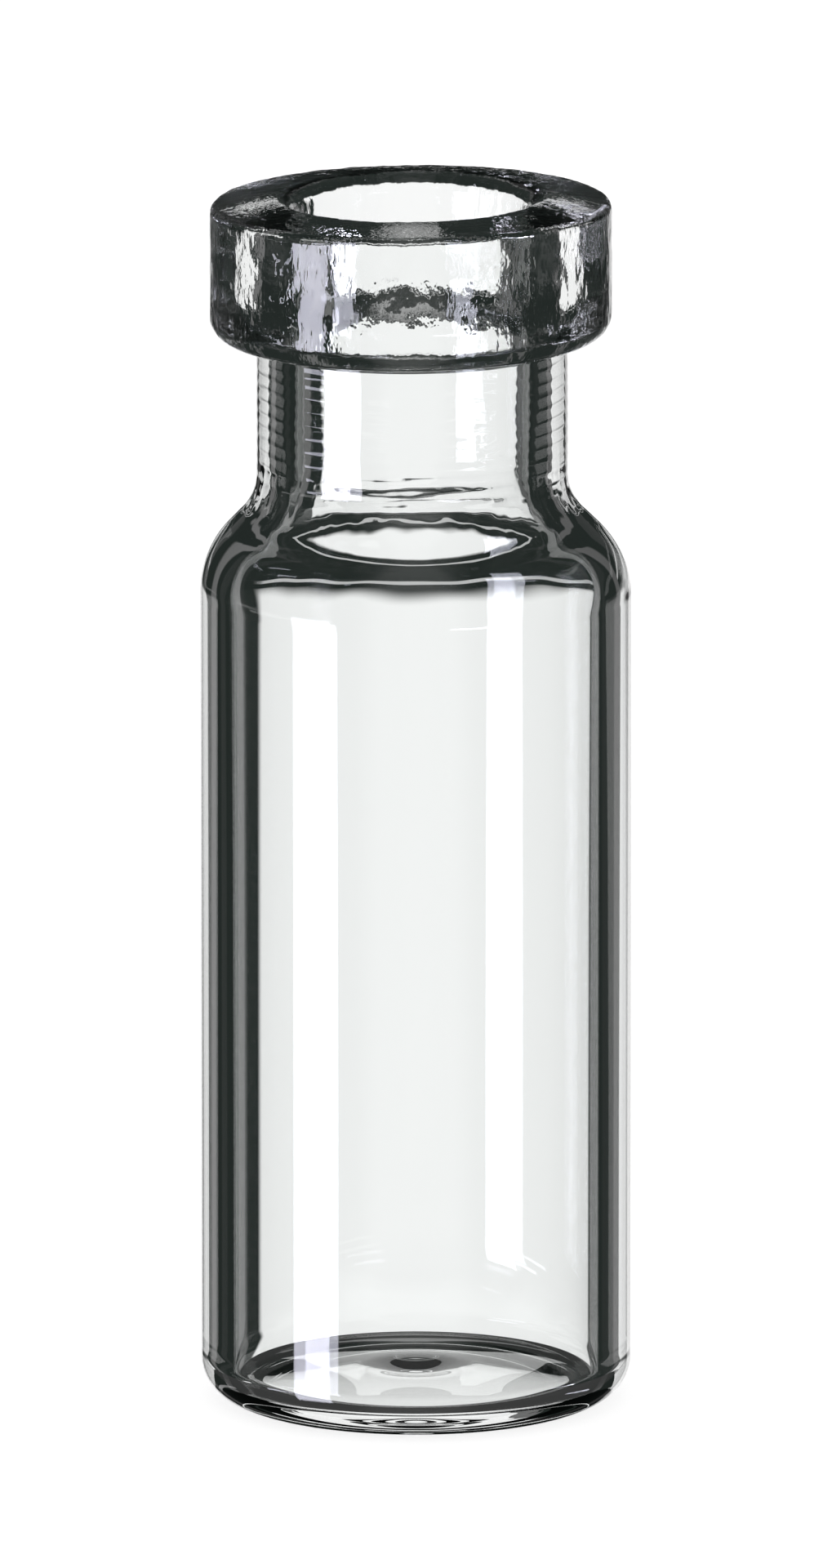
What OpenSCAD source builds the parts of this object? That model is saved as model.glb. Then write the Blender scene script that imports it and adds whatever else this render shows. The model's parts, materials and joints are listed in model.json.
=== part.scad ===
// Clear glass sample vial with a crimp neck.
// One piece of formed glass tubing: a straight body with a rounded heel, a
// pushed-up base, a shoulder that turns in to a short neck, and a thick upset
// lip with a low crown that an aluminium crimp cap closes over.
// Millimetres, +Z up, origin at the centre of the ring that the vial stands on.

/* [Body] */
// Outside diameter of the straight body
body_d = 11.6; // [11:0.1:12.6]
// Height over the crown of the lip
height = 33; // [31:0.1:45]
// Thickness of the body wall
wall = 0.86; // [0.7:0.02:1]
// Outside radius of the heel, where the wall turns under
heel_r = 1.15; // [0.8:0.05:1.5]

/* [Shoulder and neck] */
// Height at which the wall starts to turn in
shoulder_z = 22.14; // [19:0.02:22.4]
// Outside radius of the round part of the shoulder
shoulder_r = 2.57; // [1.8:0.01:2.7]
// Outside radius of the hollow curve that leads into the neck
neck_sweep_r = 1.66; // [1.2:0.02:1.9]
// Steepest lean of the shoulder between its two curves, in degrees
shoulder_lean = 45; // [40:1:60]
// How far below shoulder_z the inside of the wall starts to turn in
inner_drop = 0.08; // [0:0.02:0.2]
// How much more the inside of the shoulder leans than its outside, in degrees
inner_extra_lean = 7.5; // [0:0.5:12]
// Outside diameter of the neck
neck_d = 8.36; // [8:0.02:8.8]
// Diameter of the straight bore through the neck
bore_d = 6.32; // [5.8:0.02:6.6]

/* [Lip] */
// Outside diameter of the lip
lip_d = 10.8; // [10.6:0.1:11]
// Height of the lip
lip_h = 3.85; // [3.2:0.05:4.2]
// Radius of the lip's lower outside edge
lip_under_r = 0.64; // [0.4:0.02:0.9]
// Radius of the lip's upper outside edge
lip_corner_r = 0.28; // [0.2:0.02:0.5]
// Radius of the low crown across the top of the lip
crown_r = 9; // [6:0.5:14]
// Radius of the mouth's inner edge
mouth_r = 0.5; // [0.2:0.05:0.6]
// Radius of the corner between the neck and the underside of the lip
under_lip_fillet_r = 0.2; // [0.1:0.05:0.3]

/* [Base] */
// Thickness of the glass at the edge of the floor
floor_t = 0.7; // [0.6:0.05:1]
// Inside radius where the wall meets the floor
floor_corner_r = 0.45; // [0.3:0.05:0.8]
// Width of the flat ring that the vial stands on
foot_w = 0.4; // [0.1:0.05:0.8]
// Rise of the underside at the centre
push_up = 0.35; // [0.2:0.05:0.4]
// Rise of the floor from its edge to the middle, before the dimple
floor_rise = 0.2; // [0.2:0.02:0.4]
// Radius of the dimple in the middle of the floor
dimple_r = 1.6; // [1.2:0.1:2.6]
// Depth of the dimple
dimple_depth = 0.25; // [0.1:0.01:0.28]

/* [Hidden] */

body_r = body_d / 2;
inner_r = body_r - wall;
neck_r = neck_d / 2;
bore_r = bore_d / 2;
lip_r = lip_d / 2;
lip_z = height - lip_h;
foot_r = body_r - heel_r - foot_w;

// The inside of the shoulder runs nearly parallel to its outside.
inner_shoulder_r = shoulder_r - wall;
inner_sweep_r = neck_sweep_r + wall;
inner_shoulder_z = shoulder_z - inner_drop;
inner_lean = shoulder_lean + inner_extra_lean;

floor_edge_r = inner_r - floor_corner_r;

arc_steps = 10;
crown_steps = 12;
dome_steps = 8;
floor_steps = 20;
turn_steps = 96;

// Points along a circle's arc, from one angle to the other, both included.
function arc(centre, r, from, to, steps = arc_steps) =
    [for (i = [0 : steps])
        let (a = from + (to - from) * i / steps)
        centre + r * [cos(a), sin(a)]];

// A wall that turns in from radius low_r at height z and back upright at
// radius high_r: a round arc and a hollow arc, and a cone between them where
// they would otherwise lean more than steepest.
function s_curve(low_r, high_r, z, round_r, hollow_r, steepest) =
    let (
        drop = low_r - high_r,
        reach = round_r + hollow_r,
        lean = min(steepest, acos(1 - drop / reach)),
        cone = (drop - reach * (1 - cos(lean))) / sin(lean),
        hollow_z = z + reach * sin(lean) + cone * cos(lean)
    )
    concat(
        arc([low_r - round_r, z], round_r, 0, lean),
        arc([high_r + hollow_r, hollow_z], hollow_r, 180 + lean, 180)
    );

// The crown: the top of the lip falls away from the crest, which is the outer
// end of the mouth's rounding, and meets the lip's upper edge on a tangent.
crest_r = bore_r + mouth_r;
crown_z = height - crown_r;
corner_out = lip_r - lip_corner_r - crest_r;
corner_z = crown_z + sqrt(pow(crown_r - lip_corner_r, 2) - corner_out * corner_out);
corner_lean = atan2(corner_z - crown_z, corner_out);

// The underside: a shallow arc about the axis that is highest in the middle.
function underside() =
    let (big_r = (foot_r * foot_r + push_up * push_up) / (2 * push_up))
    [for (i = [0 : dome_steps])
        let (r = foot_r * i / dome_steps)
        [r, sqrt(big_r * big_r - r * r) - sqrt(big_r * big_r - foot_r * foot_r)]];

// The outside, from the middle of the underside up to the crest of the lip.
function outside() = concat(
    underside(),
    arc([body_r - heel_r, heel_r], heel_r, -90, 0),
    s_curve(body_r, neck_r, shoulder_z, shoulder_r, neck_sweep_r, shoulder_lean),
    arc([neck_r + under_lip_fillet_r, lip_z - under_lip_fillet_r],
        under_lip_fillet_r, 180, 90),
    arc([lip_r - lip_under_r, lip_z + lip_under_r], lip_under_r, -90, 0),
    arc([lip_r - lip_corner_r, corner_z], lip_corner_r, 0, corner_lean, arc_steps / 2),
    arc([crest_r, crown_z], crown_r, corner_lean, 90, crown_steps)
);

// Height of the floor: a low rise towards the middle, less the round dimple.
function floor_z(r) =
    let (rise = 1 - pow(r / floor_edge_r, 2), fade = min(1, r / dimple_r))
    floor_t + floor_rise * rise * rise - dimple_depth * (1 + cos(180 * fade)) / 2;

// The floor inside the vial, from the axis to the edge of its round corner.
function floor_top() =
    [for (i = [0 : floor_steps]) let (r = floor_edge_r * i / floor_steps) [r, floor_z(r)]];

// The inside, from the edge of the mouth down to the middle of the floor.
function inside() = concat(
    arc([crest_r, height - mouth_r], mouth_r, 90 + 90 / arc_steps, 180, arc_steps - 1),
    reverse(s_curve(inner_r, bore_r, inner_shoulder_z, inner_shoulder_r, inner_sweep_r,
                    inner_lean)),
    arc([floor_edge_r, floor_t + floor_corner_r], floor_corner_r, 0, -90 + 90 / arc_steps,
        arc_steps - 1),
    reverse(floor_top())
);

function reverse(points) = [for (i = [len(points) - 1 : -1 : 0]) points[i]];

// The glass: its section turned once round the axis.
module vial() {
    color([0.86, 0.93, 0.91, 0.45])
        rotate_extrude($fn = turn_steps)
            polygon(concat(outside(), inside()));
}

vial();
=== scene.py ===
import json
from math import atan2, cos, degrees, pi, radians, sin, sqrt

import bmesh
import bpy
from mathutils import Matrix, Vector, noise


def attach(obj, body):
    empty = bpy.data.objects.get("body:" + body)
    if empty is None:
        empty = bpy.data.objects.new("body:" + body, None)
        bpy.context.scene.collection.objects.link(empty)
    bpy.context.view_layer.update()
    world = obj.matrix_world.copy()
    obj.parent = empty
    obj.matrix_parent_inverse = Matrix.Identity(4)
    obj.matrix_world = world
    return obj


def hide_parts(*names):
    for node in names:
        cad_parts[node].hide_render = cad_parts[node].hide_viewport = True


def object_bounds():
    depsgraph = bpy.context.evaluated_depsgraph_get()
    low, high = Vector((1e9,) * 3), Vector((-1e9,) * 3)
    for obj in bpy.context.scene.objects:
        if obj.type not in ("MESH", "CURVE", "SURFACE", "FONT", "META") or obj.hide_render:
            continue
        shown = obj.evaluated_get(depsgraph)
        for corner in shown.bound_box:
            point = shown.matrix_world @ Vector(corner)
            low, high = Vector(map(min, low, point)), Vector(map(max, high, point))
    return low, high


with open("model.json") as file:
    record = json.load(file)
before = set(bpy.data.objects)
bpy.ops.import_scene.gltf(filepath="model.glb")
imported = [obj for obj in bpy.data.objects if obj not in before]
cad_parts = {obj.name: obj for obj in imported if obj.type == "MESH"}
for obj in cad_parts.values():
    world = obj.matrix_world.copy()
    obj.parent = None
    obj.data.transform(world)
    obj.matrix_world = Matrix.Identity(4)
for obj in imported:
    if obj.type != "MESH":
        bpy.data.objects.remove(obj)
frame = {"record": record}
cad_low, cad_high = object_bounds()

# The glass. A length of clear borosilicate tubing is formed in a flame: the
# base is closed and pushed up, the neck is drawn in, and the soft end is upset
# into a thick lip. It is one piece of glass, open at the top.

MM = 0.001
mounts = {mount["name"]: mount["dims"] for mount in frame["record"]["mounts"]}

height = cad_high.z
body_r = mounts["body_outside"]["r_mm"] * MM
bore_r = mounts["mouth_bore"]["r_mm"] * MM
lip_r = mounts["crimp_lip"]["r_mm"] * MM

wall = 0.86 * MM
inner_r = body_r - wall
heel_r = 1.15 * MM
neck_r = 4.18 * MM
shoulder_z = 22.14 * MM
shoulder_r = 2.57 * MM
neck_sweep_r = 1.66 * MM
inner_drop = 0.08 * MM
inner_shoulder_z = shoulder_z - inner_drop
inner_shoulder_r = shoulder_r - wall
inner_sweep_r = neck_sweep_r + wall
# How far the wall leans in, at most, outside and inside, in degrees.
shoulder_lean = 45
inner_lean = 52.5

lip_h = 3.85 * MM
lip_z = height - lip_h
lip_under_r = 0.64 * MM
under_lip_r = 0.2 * MM
lip_corner_r = 0.28 * MM
lip_crown_r = 9.0 * MM
mouth_r = 0.5 * MM

foot_w = 0.4 * MM
foot_r = body_r - heel_r - foot_w
push_up = 0.35 * MM
floor_t = 0.7 * MM
floor_corner_r = 0.45 * MM
floor_edge_r = inner_r - floor_corner_r
floor_rise = 0.2 * MM
dimple_r = 1.6 * MM
dimple_depth = 0.25 * MM

# A straight stretch gets a ring this close to each end, so that the shading of
# the round stretch beside it does not spill over.
HOLD = 0.04 * MM

# Steps along the underside and the floor, and steps of the turn round the axis.
DOME_STEPS = 12
FLOOR_STEPS = 40
TURNS = 256


def arc(centre_r, centre_z, radius, start, end, steps):
    """A round stretch of the section, between two angles in degrees."""
    points = []
    for i in range(steps + 1):
        a = radians(start + (end - start) * i / steps)
        points.append((centre_r + radius * cos(a), centre_z + radius * sin(a)))
    return points


def upright(r, z_from, z_to, steps):
    """The inner points of an upright stretch, with a holding ring at each end."""
    way = 1 if z_to > z_from else -1
    start = z_from + way * HOLD
    end = z_to - way * HOLD
    return [(r, start + (end - start) * i / steps) for i in range(steps + 1)]


def turn_in(low_r, high_r, z, round_r, hollow_r, lean, steps):
    """A wall that turns in at height z from low_r, leans, and is upright again at high_r."""
    reach = round_r + hollow_r
    slope = radians(lean)
    cone = (low_r - high_r - reach * (1 - cos(slope))) / sin(slope)
    hollow_z = z + reach * sin(slope) + cone * cos(slope)
    low = arc(low_r - round_r, z, round_r, 0, lean, steps)
    high = arc(high_r + hollow_r, hollow_z, hollow_r, 180 + lean, 180, steps)
    return low + high


def underside(r):
    """Height of the pushed-up base at a distance from the axis."""
    dome_r = (foot_r ** 2 + push_up ** 2) / (2 * push_up)
    return sqrt(dome_r ** 2 - r ** 2) - sqrt(dome_r ** 2 - foot_r ** 2)


def floor_top(r):
    """Height of the floor inside the vial, low in the middle of a shallow rise."""
    rise = floor_rise * (1 - (r / floor_edge_r) ** 2) ** 2
    fade = min(1.0, r / dimple_r)
    return floor_t + rise - dimple_depth * 0.5 * (1 + cos(pi * fade))


dome = [foot_r * i / DOME_STEPS for i in range(DOME_STEPS + 1)]
outside = [(r, underside(r)) for r in dome]
outside += [(foot_r + HOLD, 0.0), (body_r - heel_r - HOLD, 0.0)]
outside += arc(body_r - heel_r, heel_r, heel_r, -90, 0, steps=18)
outside += upright(body_r, heel_r, shoulder_z, steps=3)
outside += turn_in(
    body_r, neck_r, shoulder_z, shoulder_r, neck_sweep_r, shoulder_lean, steps=22
)
neck_top = lip_z - under_lip_r
outside += upright(neck_r, outside[-1][1], neck_top, steps=36)
outside += arc(neck_r + under_lip_r, neck_top, under_lip_r, 180, 90, steps=6)
outside += arc(lip_r - lip_under_r, lip_z + lip_under_r, lip_under_r, -90, 0, steps=12)

crest_r = bore_r + mouth_r
crown_z = height - lip_crown_r
corner_out = lip_r - lip_corner_r - crest_r
corner_z = crown_z + sqrt((lip_crown_r - lip_corner_r) ** 2 - corner_out ** 2)
corner_lean = degrees(atan2(corner_z - crown_z, corner_out))
outside += upright(lip_r, lip_z + lip_under_r, corner_z, steps=26)
outside += arc(lip_r - lip_corner_r, corner_z, lip_corner_r, 0, corner_lean, steps=8)
outside += arc(crest_r, crown_z, lip_crown_r, corner_lean, 90, steps=16)[1:]

inner_turn = turn_in(
    inner_r, bore_r, inner_shoulder_z, inner_shoulder_r, inner_sweep_r, inner_lean, steps=22
)
inside = arc(crest_r, height - mouth_r, mouth_r, 90, 180, steps=12)[1:]
inside += upright(bore_r, height - mouth_r, inner_turn[-1][1], steps=40)
inside += inner_turn[::-1]
inside += upright(inner_r, inner_shoulder_z, floor_t + floor_corner_r, steps=3)
# The corner stops just short of level, where the floor's first point closes it.
CORNER_END = -84
inside += arc(floor_edge_r, floor_t + floor_corner_r, floor_corner_r, 0, CORNER_END, steps=12)
floor = [floor_edge_r * i / FLOOR_STEPS for i in range(FLOOR_STEPS, -1, -1)]
inside += [(r, floor_top(r)) for r in floor]

bm = bmesh.new()
section = [bm.verts.new((r, 0.0, z)) for r, z in outside + inside]
edges = [bm.edges.new(pair) for pair in zip(section, section[1:])]
bmesh.ops.spin(
    bm,
    geom=section + edges,
    cent=(0.0, 0.0, 0.0),
    axis=(0.0, 0.0, 1.0),
    angle=2 * pi,
    steps=TURNS,
    use_merge=True,
)
MERGE = 0.0005 * MM
bmesh.ops.remove_doubles(bm, verts=bm.verts, dist=MERGE)
bmesh.ops.recalc_face_normals(bm, faces=bm.faces)
for face in bm.faces:
    face.smooth = True


# The marks of forming. The neck and the lip run a little off the body's axis,
# the tool leaves rings along the neck, and the lip, which was never touched up
# in the flame, keeps a skin of small pebbles and upright drag lines.

# How far the neck sits off the body's axis, how much farther the lip does, and
# how much the lip climbs for each step towards +X.
NECK_OFF = -0.10 * MM
LIP_OFF = -0.04 * MM
LIP_TILT = 0.010

# The heights in mm at which each stretch fades in, and those at which it fades out.
SHOULDER = (21.5, 22.5, 25.0, 26.0)
NECK_FOOT = (23.7, 24.5, 25.6, 26.4)
NECK = (24.6, 25.6, 28.6, 29.0)
LIP_STARTS = (28.9, 29.5)
RIM_STARTS = (31.9, 32.3)
NECK_SHIFT = (21.8, 25.2)
LIP_SHIFT = (28.4, 29.2)
LIP_LEAN = (28.0, 29.6)

# The depth of each mark in mm. The bore takes only a share of them.
LIP_PEBBLE = 0.016
LIP_DRAG = 0.012
LIP_SWELL = 0.012
NECK_RING = 0.004
NECK_SWELL = 0.006
FOOT_PEBBLE = 0.004
FOOT_DRAG = 0.006
SHOULDER_SWELL = 0.008
RIM_WAVE = 0.018
RIM_NICK = 0.012
RIM_SINK = 0.016
BORE_SHARE = 0.35
OUTER_SKIN_R = 3.6 * MM

# Each unevenness: how fine it is across and along the axis, and its seed.
PEBBLE = (3.2, 2.2, 0.0)
DRAG = (4.5, 0.5, 9.0)
SWELL = (0.9, 0.9, 30.0)
WANDER = (0.6, 0.6, 0.0)
WAVE = (1.6, 0.0, 4.0)
NICK = (4.6, 0.0, 7.0)

# The rings of the neck: their pitch in mm, and how far they wander, in radians.
RING_PITCH = 0.35
RING_WANDER = 1.5

# Nearer to the axis than this nothing is moved.
ON_AXIS = 0.02 * MM


def ease(low, high, value):
    """0 below low, 1 above high, and a smooth step between."""
    t = min(1.0, max(0.0, (value - low) / (high - low)))
    return t * t * (3 - 2 * t)


def stretch(heights, z):
    """1 between the middle two of four heights, fading to 0 at the outer two."""
    return ease(*heights[:2], z) * (1 - ease(*heights[2:], z))


def uneven(place, across, along, seed):
    """Smooth noise between -1 and 1, with its own pitch across and along the axis."""
    return noise.noise(Vector((place.x * across, place.y * across, place.z * along + seed)))


def formed(point):
    """Where a point of the glass ends up after forming."""
    r = sqrt(point.x ** 2 + point.y ** 2)
    if r < ON_AXIS:
        return point.copy()
    out = Vector((point.x / r, point.y / r, 0.0))
    place = point / MM
    z = place.z
    skin = 1.0 if r > OUTER_SKIN_R else BORE_SHARE

    pebble = uneven(place, *PEBBLE)
    drag = uneven(place, *DRAG)
    swell = uneven(place, *SWELL)
    ring = sin(2 * pi * z / RING_PITCH + RING_WANDER * uneven(place, *WANDER))
    wave = uneven(place, *WAVE)
    nick = uneven(place, *NICK)

    push = ease(*LIP_STARTS, z) * skin * (LIP_PEBBLE * pebble + LIP_DRAG * drag + LIP_SWELL * swell)
    push += stretch(NECK, z) * skin * (NECK_RING * ring + NECK_SWELL * swell)
    push += stretch(NECK_FOOT, z) * skin * (FOOT_PEBBLE * pebble + FOOT_DRAG * drag)
    push += stretch(SHOULDER, z) * SHOULDER_SWELL * swell
    lift = ease(*RIM_STARTS, z) * (RIM_WAVE * wave + RIM_NICK * nick - RIM_SINK)

    moved = point + out * (push * MM)
    moved.z += lift * MM
    moved.x += NECK_OFF * ease(*NECK_SHIFT, z) + LIP_OFF * ease(*LIP_SHIFT, z)
    moved.z += LIP_TILT * point.x * ease(*LIP_LEAN, z)
    return moved


for vert in bm.verts:
    vert.co = formed(vert.co)

mesh = bpy.data.meshes.new("vial_glass")
bm.to_mesh(mesh)
bm.free()
vial = bpy.data.objects.new("vial_glass", mesh)
bpy.context.collection.objects.link(vial)


# The surface of the glass. Borosilicate is clear and almost colourless. The lip
# keeps the fine pebbles and scratches of the forming tool, which are too small
# to model, so they are a relief in the surface; the body is as smooth as drawn.

# The relief fades in at the foot of the lip, is twice as deep on its crown, and
# fades out towards the bore.
RELIEF_DEPTH = 0.022 * MM
SIDE_STARTS = (28.9 * MM, 29.3 * MM)
CROWN_STARTS = (32.6 * MM, 32.8 * MM)
BORE_ENDS = (bore_r + 0.1 * MM, bore_r + 0.5 * MM)
PEBBLE_GRAINS = (4600, 4600, 2600)
SCRATCH_GRAINS = (5600, 5600, 800)
PEBBLE_SHARE = 0.7
SCRATCH_SHARE = 0.3
GLASS_TINT = (0.985, 0.995, 0.99, 1)
GLASS_INDEX = 1.473


def calc(tree, operation, *values):
    """One calculation in a node tree, on plain numbers or on the outputs of other nodes."""
    node = tree.nodes.new("ShaderNodeMath")
    node.operation = operation
    for socket, value in zip(node.inputs, values):
        if isinstance(value, (int, float)):
            socket.default_value = value
        else:
            tree.links.new(value, socket)
    return node.outputs[0]


def smooth_step(tree, value, zero_at, one_at):
    """A smooth step in a node tree: 0 at zero_at, 1 at one_at."""
    node = tree.nodes.new("ShaderNodeMapRange")
    node.interpolation_type = "SMOOTHSTEP"
    tree.links.new(value, node.inputs["Value"])
    for name, limit in (("From Min", zero_at), ("From Max", one_at)):
        if isinstance(limit, (int, float)):
            node.inputs[name].default_value = limit
        else:
            tree.links.new(limit, node.inputs[name])
    return node.outputs["Result"]


def grain(tree, place, scale):
    """Noise in a node tree, with its own scale along x, y and z, in grains a metre."""
    scaled = tree.nodes.new("ShaderNodeVectorMath")
    scaled.operation = "MULTIPLY"
    scaled.inputs[1].default_value = scale
    tree.links.new(place, scaled.inputs[0])
    node = tree.nodes.new("ShaderNodeTexNoise")
    node.inputs["Scale"].default_value = 1.0
    node.inputs["Detail"].default_value = 2.0
    tree.links.new(scaled.outputs[0], node.inputs["Vector"])
    return node.outputs[0]


glass = bpy.data.materials.new("clear_glass")
glass.use_nodes = True
tree = glass.node_tree
shader = tree.nodes["Principled BSDF"]
shader.inputs["Base Color"].default_value = GLASS_TINT
shader.inputs["Roughness"].default_value = 0.0
shader.inputs["IOR"].default_value = GLASS_INDEX
shader.inputs["Transmission Weight"].default_value = 1.0

place = tree.nodes.new("ShaderNodeTexCoord").outputs["Object"]
split = tree.nodes.new("ShaderNodeSeparateXYZ")
tree.links.new(place, split.inputs[0])
on_side = smooth_step(tree, split.outputs["Z"], *SIDE_STARTS)
on_crown = smooth_step(tree, split.outputs["Z"], *CROWN_STARTS)
x_squared = calc(tree, "MULTIPLY", split.outputs["X"], split.outputs["X"])
y_squared = calc(tree, "MULTIPLY", split.outputs["Y"], split.outputs["Y"])
off_axis = calc(tree, "SQRT", calc(tree, "ADD", x_squared, y_squared))
off_bore = smooth_step(tree, off_axis, *BORE_ENDS)
on_lip = calc(tree, "MULTIPLY", calc(tree, "ADD", on_side, on_crown), off_bore)
pebbles = calc(tree, "MULTIPLY", grain(tree, place, PEBBLE_GRAINS), PEBBLE_SHARE)
scratches = calc(tree, "MULTIPLY", grain(tree, place, SCRATCH_GRAINS), SCRATCH_SHARE)
relief = calc(tree, "ADD", pebbles, scratches)
bump = tree.nodes.new("ShaderNodeBump")
bump.inputs["Strength"].default_value = 1.0
bump.inputs["Distance"].default_value = RELIEF_DEPTH
tree.links.new(calc(tree, "MULTIPLY", relief, on_lip), bump.inputs["Height"])
tree.links.new(bump.outputs["Normal"], shader.inputs["Normal"])
mesh.materials.append(glass)

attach(vial, "root")
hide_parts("vial")


# The table. The vial stands on a sheet of white paper, which keeps its soft
# shadow. In the glass it shows as two round patches: a white one right under
# the base, and a dark one that reaches a little past the body, which is a
# painted shadow of the vial on the paper.

TABLE_HALF = 2.0
TABLE_GLOW = 0.85
TABLE_GREY = 0.25
WHITE_PATCH_R = 4.15 * MM
WHITE_PATCH_DEPTH = 0.02 * MM
WHITE_PATCH_GLOW = 0.97
# The dark patch is painted shadow of the vial on the paper.
SHADOW_PATCH_R = 6.0 * MM
SHADOW_PATCH_DEPTH = 0.04 * MM
SHADOW_PATCH_GLOW = 0.045
PATCH_SIDES = 96


def flat_card(name, shape):
    """A flat stage piece, with its mesh made by shape, linked and named."""
    flat = bmesh.new()
    shape(flat)
    data = bpy.data.meshes.new(name)
    flat.to_mesh(data)
    flat.free()
    piece = bpy.data.objects.new(name, data)
    bpy.context.collection.objects.link(piece)
    return piece


def only_in_glass(piece):
    """Hide a stage piece from everything but what is seen through glass."""
    piece.visible_camera = False
    piece.visible_glossy = False
    piece.visible_diffuse = False
    piece.visible_shadow = False


def square_sheet(flat):
    """The table's top."""
    bmesh.ops.create_grid(flat, x_segments=1, y_segments=1, size=TABLE_HALF)


def round_patch(radius, depth):
    """A maker of a round patch that lies a little under the table's top."""

    def shape(flat):
        bmesh.ops.create_circle(flat, cap_ends=True, radius=radius, segments=PATCH_SIDES)
        bmesh.ops.translate(flat, verts=flat.verts, vec=(0.0, 0.0, -depth))

    return shape


def paper(name, glow, grey):
    """Paper with an even glow of its own, which throws back the share grey of other light."""
    material = bpy.data.materials.new(name)
    material.use_nodes = True
    sheet = material.node_tree.nodes["Principled BSDF"]
    sheet.inputs["Base Color"].default_value = (grey, grey, grey, 1)
    sheet.inputs["Roughness"].default_value = 1.0
    sheet.inputs["Specular IOR Level"].default_value = 0.0
    sheet.inputs["Emission Color"].default_value = (1, 1, 1, 1)
    sheet.inputs["Emission Strength"].default_value = glow
    return material


table = flat_card("table", square_sheet)
table.data.materials.append(paper("white_paper", TABLE_GLOW, TABLE_GREY))
table.visible_transmission = False
table.visible_glossy = False

# The dark patch is painted shadow: a dark sheet, seen only through the glass, where the paper round
# the base lies in the vial's shade.
for name, radius, depth, glow in (
    ("table_patch", WHITE_PATCH_R, WHITE_PATCH_DEPTH, WHITE_PATCH_GLOW),
    ("table_painted_shadow", SHADOW_PATCH_R, SHADOW_PATCH_DEPTH, SHADOW_PATCH_GLOW),
):
    patch = flat_card(name, round_patch(radius, depth))
    patch.data.materials.append(paper(name, glow, 0.0))
    only_in_glass(patch)


# The low cards. Four white cards lie low round the vial, one across from each
# main side, and are what the floor of the vial reflects. Only their undersides
# glow, so that they change nothing that is seen past them from above.

CARD_FROM = 9.0 * MM
CARD_TO = 60.0 * MM
CARD_Z = 5.0 * MM
CARD_SPREAD = 30
CARD_BEARINGS = (2, -43, -88, 137)
CARD_STEPS = 12


def low_cards(flat):
    """Four flat sectors round the vial, facing up. Bearings turn from +Y towards +X."""
    for bearing in CARD_BEARINGS:
        start = radians(90 - bearing - CARD_SPREAD / 2)
        ends = [(r * cos(start), r * sin(start), CARD_Z) for r in (CARD_FROM, CARD_TO)]
        edge = [flat.verts.new(end) for end in ends]
        bmesh.ops.spin(
            flat,
            geom=edge + [flat.edges.new(edge)],
            cent=(0.0, 0.0, 0.0),
            axis=(0.0, 0.0, 1.0),
            angle=radians(CARD_SPREAD),
            steps=CARD_STEPS,
        )
    flat.normal_update()
    bmesh.ops.reverse_faces(flat, faces=[face for face in flat.faces if face.normal.z < 0])


def one_sided(name):
    """A white glow on the underside, and nothing at all from above."""
    material = bpy.data.materials.new(name)
    material.use_nodes = True
    tree = material.node_tree
    tree.nodes.clear()
    from_below = tree.nodes.new("ShaderNodeNewGeometry").outputs["Backfacing"]
    glowing = tree.nodes.new("ShaderNodeEmission")
    clear = tree.nodes.new("ShaderNodeBsdfTransparent")
    either = tree.nodes.new("ShaderNodeMixShader")
    tree.links.new(from_below, either.inputs[0])
    tree.links.new(clear.outputs[0], either.inputs[1])
    tree.links.new(glowing.outputs[0], either.inputs[2])
    out = tree.nodes.new("ShaderNodeOutputMaterial")
    tree.links.new(either.outputs[0], out.inputs["Surface"])
    return material


low_card = flat_card("low_cards", low_cards)
low_card.data.materials.append(one_sided("low_card_white"))
only_in_glass(low_card)


# The studio. Clear glass shows only what stands around it: white panels behind
# it, with black between and beside them that draws its dark edges, grey strips
# at the sides of the panel, and a strong cool softbox at the left.

card = bpy.data.node_groups.new("studio_card", "ShaderNodeTree")
for name in ("Bearing", "Rise", "From", "To", "Low", "High", "Side Softness", "Edge Softness"):
    card.interface.new_socket(name=name, in_out="INPUT", socket_type="NodeSocketFloat")
card.interface.new_socket(name="Mask", in_out="OUTPUT", socket_type="NodeSocketFloat")
taken = card.nodes.new("NodeGroupInput").outputs
given = card.nodes.new("NodeGroupOutput").inputs


def within(value, low, high, softness, turning):
    """1 where a value lies between low and high, 0 outside, with soft edges."""
    middle = calc(card, "MULTIPLY", calc(card, "ADD", low, high), 0.5)
    half = calc(card, "MULTIPLY", calc(card, "SUBTRACT", high, low), 0.5)
    off = calc(card, "SUBTRACT", value, middle)
    if turning:
        off = calc(card, "WRAP", off, 180.0, -180.0)
    outer = calc(card, "ADD", half, softness)
    inner = calc(card, "SUBTRACT", half, softness)
    return smooth_step(card, calc(card, "ABSOLUTE", off), outer, inner)


across = within(taken["Bearing"], taken["From"], taken["To"], taken["Side Softness"], True)
upward = within(taken["Rise"], taken["Low"], taken["High"], taken["Edge Softness"], False)
card.links.new(calc(card, "MULTIPLY", across, upward), given["Mask"])

WHITE = (1.0, 1.0, 1.0)
COOL = (0.86, 0.86, 1.0)
DARK_ROOM = (0.018, 0.023, 0.021, 1)

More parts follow.
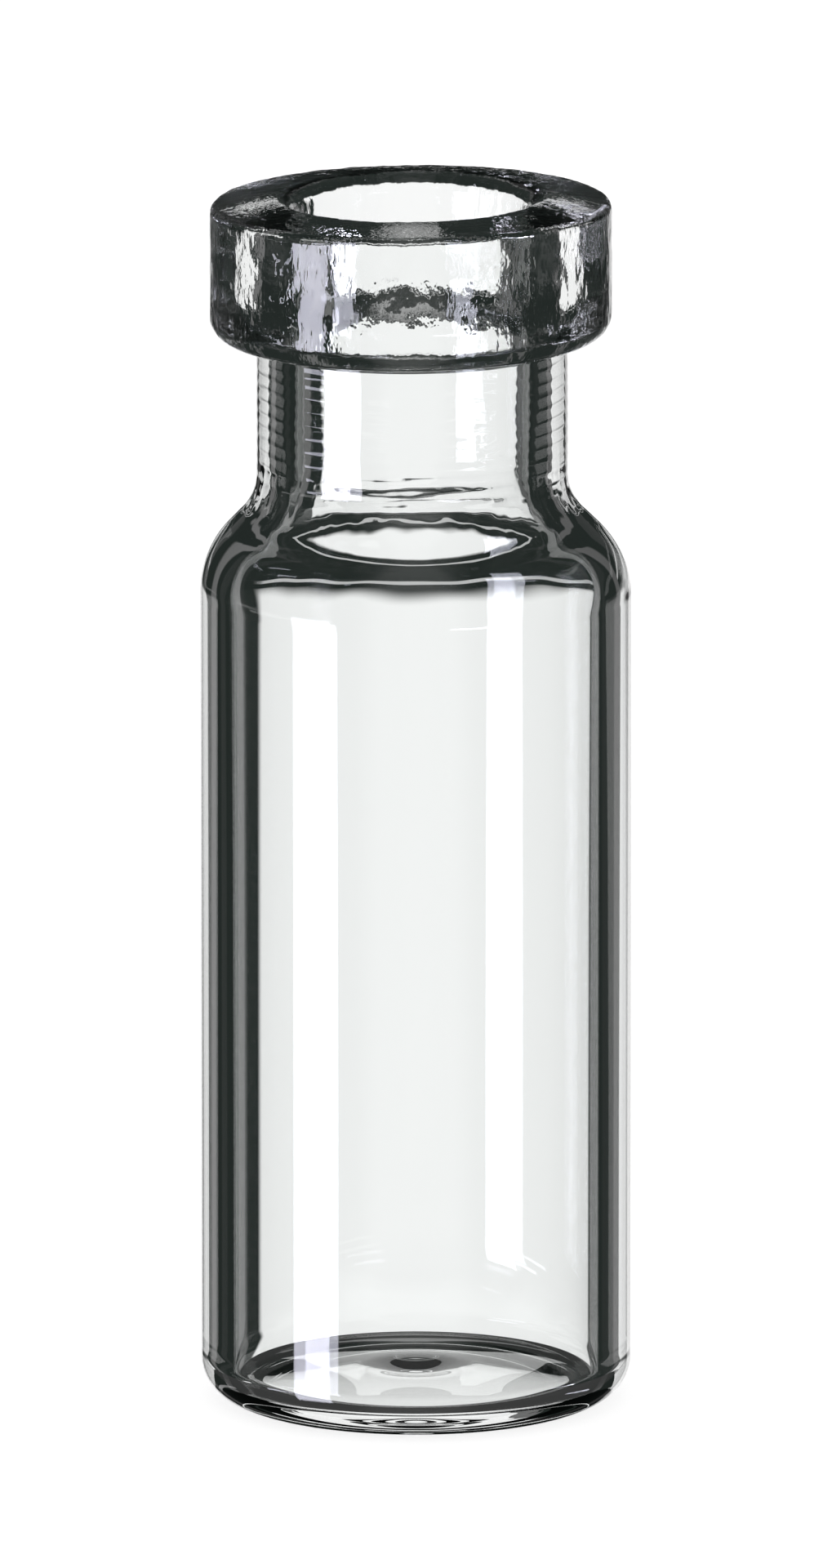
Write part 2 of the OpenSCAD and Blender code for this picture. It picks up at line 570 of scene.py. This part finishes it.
# Each card: its bearings from and to, its lowest and highest rise, all in
# degrees, its colour, its strength, and the softness of its sides and edges.
# The first is the dim wall on the camera's side. The last six are a panel and
# a softbox for each of three looks from the other sides.
CARDS = [
    (150, 210, -90, 90, WHITE, 0.35, 10, 1),
    (-27, -19, -60, 60, WHITE, 0.17, 1.0, 1),
    (22, 30, -60, 60, WHITE, 0.12, 1.0, 1),
    (-12.8, 21.2, -26.6, -7.85, WHITE, 1.0, 0.8, 1.3),
    (-12.8, 21.2, -3.68, -2.35, WHITE, 0.55, 0.8, 0.06),
    (-132.5, -111, -26, -2, COOL, 14.0, 0.8, 2),
    (-102.8, -68.8, -3.85, -2.15, WHITE, 1.0, 0.8, 0.15),
    (137.5, 159, -3.85, -2.15, COOL, 8.0, 0.8, 0.15),
    (122.2, 156.2, -15.95, -14.05, WHITE, 1.0, 0.8, 0.15),
    (-110, -92.5, -15.95, -14.05, COOL, 8.0, 0.8, 0.15),
    (-57.8, -23.8, -25.95, -24.05, WHITE, 1.0, 0.8, 0.15),
    (66, 87, -25.95, -24.05, COOL, 8.0, 0.8, 0.15),
]

world = bpy.data.worlds.new("studio")
bpy.context.scene.world = world
world.use_nodes = True
tree = world.node_tree
tree.nodes.clear()
toward = tree.nodes.new("ShaderNodeSeparateXYZ")
tree.links.new(tree.nodes.new("ShaderNodeTexCoord").outputs["Generated"], toward.inputs[0])
bearing = calc(tree, "DEGREES", calc(tree, "ARCTAN2", toward.outputs["X"], toward.outputs["Y"]))
rise = calc(tree, "DEGREES", calc(tree, "ARCSINE", toward.outputs["Z"]))
ray = tree.nodes.new("ShaderNodeLightPath").outputs

room = tree.nodes.new("ShaderNodeRGB")
room.outputs[0].default_value = DARK_ROOM
light = room.outputs[0]
for start, end, low, high, tint, strength, side, edge in CARDS:
    panel = tree.nodes.new("ShaderNodeGroup")
    panel.node_tree = card
    tree.links.new(bearing, panel.inputs["Bearing"])
    tree.links.new(rise, panel.inputs["Rise"])
    panel.inputs["From"].default_value = start
    panel.inputs["To"].default_value = end
    panel.inputs["Low"].default_value = low
    panel.inputs["High"].default_value = high
    panel.inputs["Side Softness"].default_value = side
    panel.inputs["Edge Softness"].default_value = edge
    blend = tree.nodes.new("ShaderNodeMix")
    blend.data_type = "RGBA"
    blend.inputs["B"].default_value = (tint[0] * strength, tint[1] * strength, tint[2] * strength, 1)
    tree.links.new(panel.outputs["Mask"], blend.inputs["Factor"])
    tree.links.new(light, blend.inputs["A"])
    light = blend.outputs["Result"]

in_glass = tree.nodes.new("ShaderNodeBackground")
tree.links.new(light, in_glass.inputs["Color"])
backdrop = tree.nodes.new("ShaderNodeBackground")
backdrop.inputs["Color"].default_value = (1, 1, 1, 1)
seen_in_glass = calc(tree, "MAXIMUM", ray["Is Glossy Ray"], ray["Is Transmission Ray"])
mix = tree.nodes.new("ShaderNodeMixShader")
tree.links.new(seen_in_glass, mix.inputs[0])
tree.links.new(backdrop.outputs[0], mix.inputs[1])
tree.links.new(in_glass.outputs[0], mix.inputs[2])
world_out = tree.nodes.new("ShaderNodeOutputWorld")
tree.links.new(mix.outputs[0], world_out.inputs["Surface"])


# The camera. It looks down on the vial a little, from far off, through a long
# lens, so the sides of the body stay parallel.

DISTANCE = 800 * MM
PITCH = radians(12.0)
LENS = 682
AIM = Vector((-0.12 * MM, 0.0, 16.88 * MM))
camera = bpy.data.objects.new("camera", bpy.data.cameras.new("camera"))
camera.data.lens = LENS
camera.location = AIM + Vector((0.0, -cos(PITCH), sin(PITCH))) * DISTANCE
camera.rotation_euler = (pi / 2 - PITCH, 0.0, 0.0)
bpy.context.collection.objects.link(camera)
bpy.context.scene.camera = camera
bpy.context.scene.view_settings.view_transform = "Standard"
